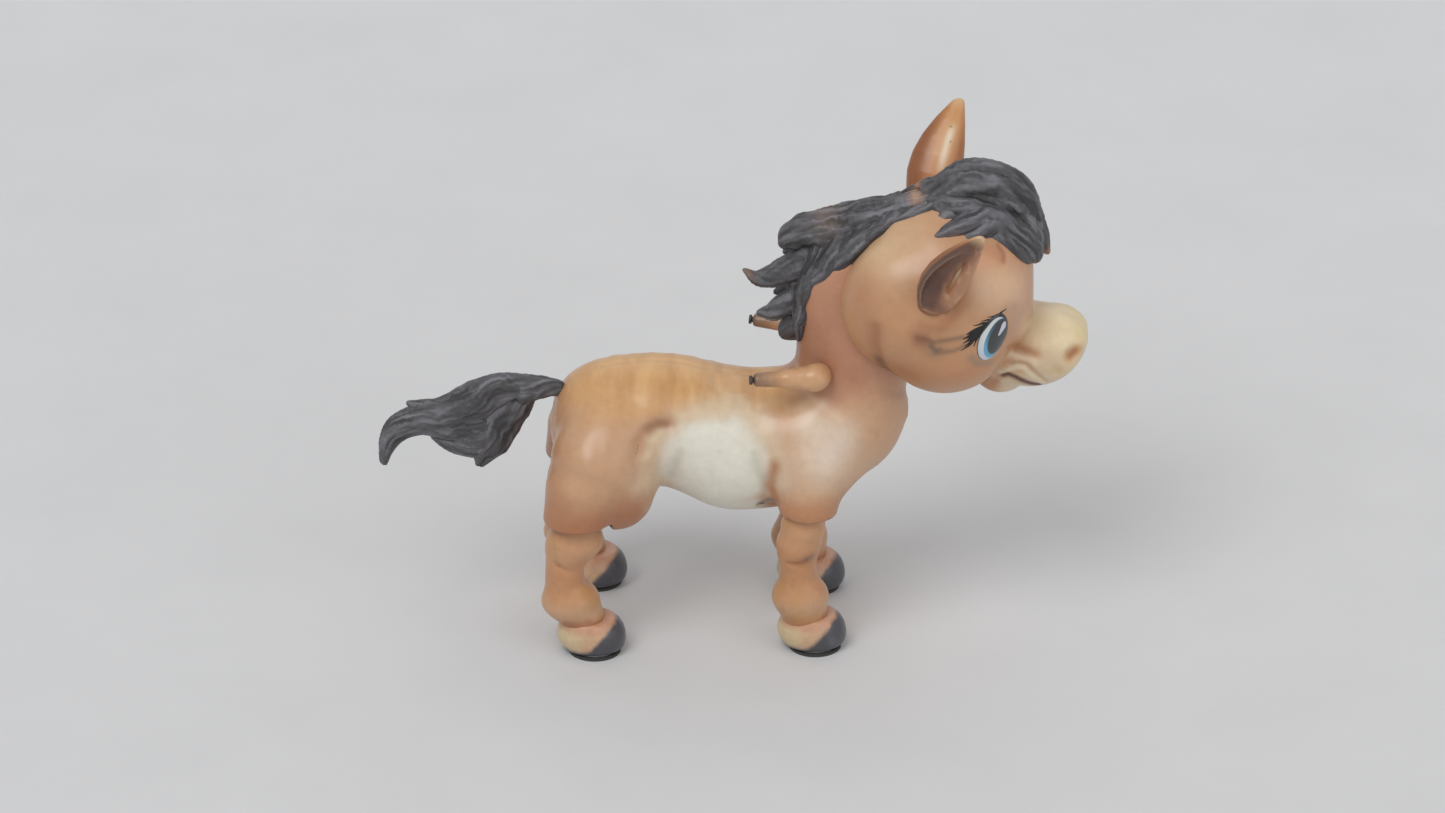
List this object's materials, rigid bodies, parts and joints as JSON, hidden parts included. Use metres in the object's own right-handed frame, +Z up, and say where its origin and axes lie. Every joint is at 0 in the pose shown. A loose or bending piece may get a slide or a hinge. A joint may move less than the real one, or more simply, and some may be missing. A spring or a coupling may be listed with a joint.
{
  "type": "kiddie ride machine",
  "caption": "Free-standing pony ride: planted legs carry a motor-driven chassis on which the hollow figure rocks fore and aft, with a grab bar at the withers.",
  "frame": {"origin": "floor level, midway between the four hoof bolts", "axes": "+X the way the pony faces, +Y its left side, +Z up"},
  "size_m": [1.4041, 0.6238, 1.0159],
  "materials": {
    "frame_steel": "satin",
    "zinc_steel": "satin",
    "ground_steel": "polished",
    "sole_rubber": "matte",
    "coat_brown": "gloss",
    "muzzle_cream": "gloss",
    "hoof_black": "gloss",
    "hair_charcoal": "satin",
    "eye_paint": "gloss",
    "motor_blue": "satin",
    "reducer_grey": "satin",
    "pulley_alu": "satin",
    "rod_iron": "satin",
    "box_plastic": "matte",
    "board_green": "satin",
    "black_plastic": "matte",
    "grip_brown": "satin"
  },
  "bodies": {
    "chassis": {"chassis_frame": "frame_steel", "foot_plates": "zinc_steel", "sole_pads": "sole_rubber", "front_left_leg_shell": "coat_brown", "front_right_leg_shell": "coat_brown", "hind_left_leg_shell": "coat_brown", "hind_right_leg_shell": "coat_brown", "front_left_hoof": "hoof_black", "front_right_hoof": "hoof_black", "hind_left_hoof": "hoof_black", "hind_right_hoof": "hoof_black", "pivot_bearing_left": "frame_steel", "pivot_bearing_right": "frame_steel", "motor_plate": "frame_steel", "drive_motor": "motor_blue", "worm_reducer": "reducer_grey", "drive_belt": "sole_rubber", "control_box": "box_plastic", "control_box_lid": "box_plastic", "control_board": "board_green", "mains_cable": "sole_rubber", "cable_gland": "black_plastic", "chassis_bolts": "zinc_steel"},
    "motor_rotor": {"motor_pulley": "pulley_alu", "motor_shaft": "ground_steel"},
    "worm": {"reducer_pulley": "pulley_alu", "worm_shaft": "ground_steel"},
    "crank": {"output_shaft": "ground_steel", "eccentric": "ground_steel"},
    "rod": {"drive_rod": "rod_iron", "rod_bush": "sole_rubber"},
    "pony_body": {"body_shell_left": "coat_brown", "body_shell_right": "coat_brown", "belly_hatch": "coat_brown", "hatch_screws": "zinc_steel", "speaker": "black_plastic", "rocker_frame": "zinc_steel", "seat_plate": "zinc_steel", "pivot_axle": "ground_steel", "axle_collars": "frame_steel", "drive_pin": "ground_steel", "head_shell": "coat_brown", "muzzle": "muzzle_cream", "neck_post": "zinc_steel", "head_bolts": "zinc_steel", "ear_left": "coat_brown", "ear_right": "coat_brown", "eye_left": "eye_paint", "eye_right": "eye_paint", "mane": "hair_charcoal", "forelock": "hair_charcoal", "tail": "hair_charcoal", "tail_stud": "zinc_steel", "grab_bar": "zinc_steel", "grip_left": "grip_brown", "grip_right": "grip_brown"},
    "left_button": {"button_left": "black_plastic"},
    "right_button": {"button_right": "black_plastic"}
  },
  "joints": [
    {"name": "ride_rock", "type": "hinge", "parent": "chassis", "child": "pony_body", "pos_m": [0, 0, 0.42], "axis": [0, 1, 0], "range_deg": [-3.2, 3.2], "deforming": ["rod_bush"]},
    {"name": "crank_spin", "type": "hinge", "parent": "chassis", "child": "crank", "pos_m": [0.1, 0, 0.324], "axis": [0, 1, 0], "continuous": true},
    {"name": "rod_turn", "type": "hinge", "parent": "crank", "child": "rod", "pos_m": [0.106, 0.069, 0.324], "axis": [0, 1, 0], "continuous": true},
    {"name": "worm_spin", "type": "hinge", "parent": "chassis", "child": "worm", "pos_m": [0.1, 0, 0.354], "axis": [1, 0, 0], "continuous": true},
    {"name": "motor_spin", "type": "hinge", "parent": "chassis", "child": "motor_rotor", "pos_m": [0.1, 0, 0.427], "axis": [1, 0, 0], "continuous": true},
    {"name": "left_button_press", "type": "slide", "parent": "pony_body", "child": "left_button", "axis": [0.9853, -0.1656, -0.0414], "range_m": [0, 0.003], "stiffness_N_per_m": 400},
    {"name": "right_button_press", "type": "slide", "parent": "pony_body", "child": "right_button", "axis": [0.9853, 0.1656, -0.0414], "range_m": [0, 0.003], "stiffness_N_per_m": 400}
  ],
  "couplings": [
    {"joint": "rod_turn", "follows": "crank_spin", "ratio": -1},
    {"joint": "worm_spin", "follows": "crank_spin", "ratio": 20},
    {"joint": "motor_spin", "follows": "crank_spin", "ratio": 30}
  ]
}
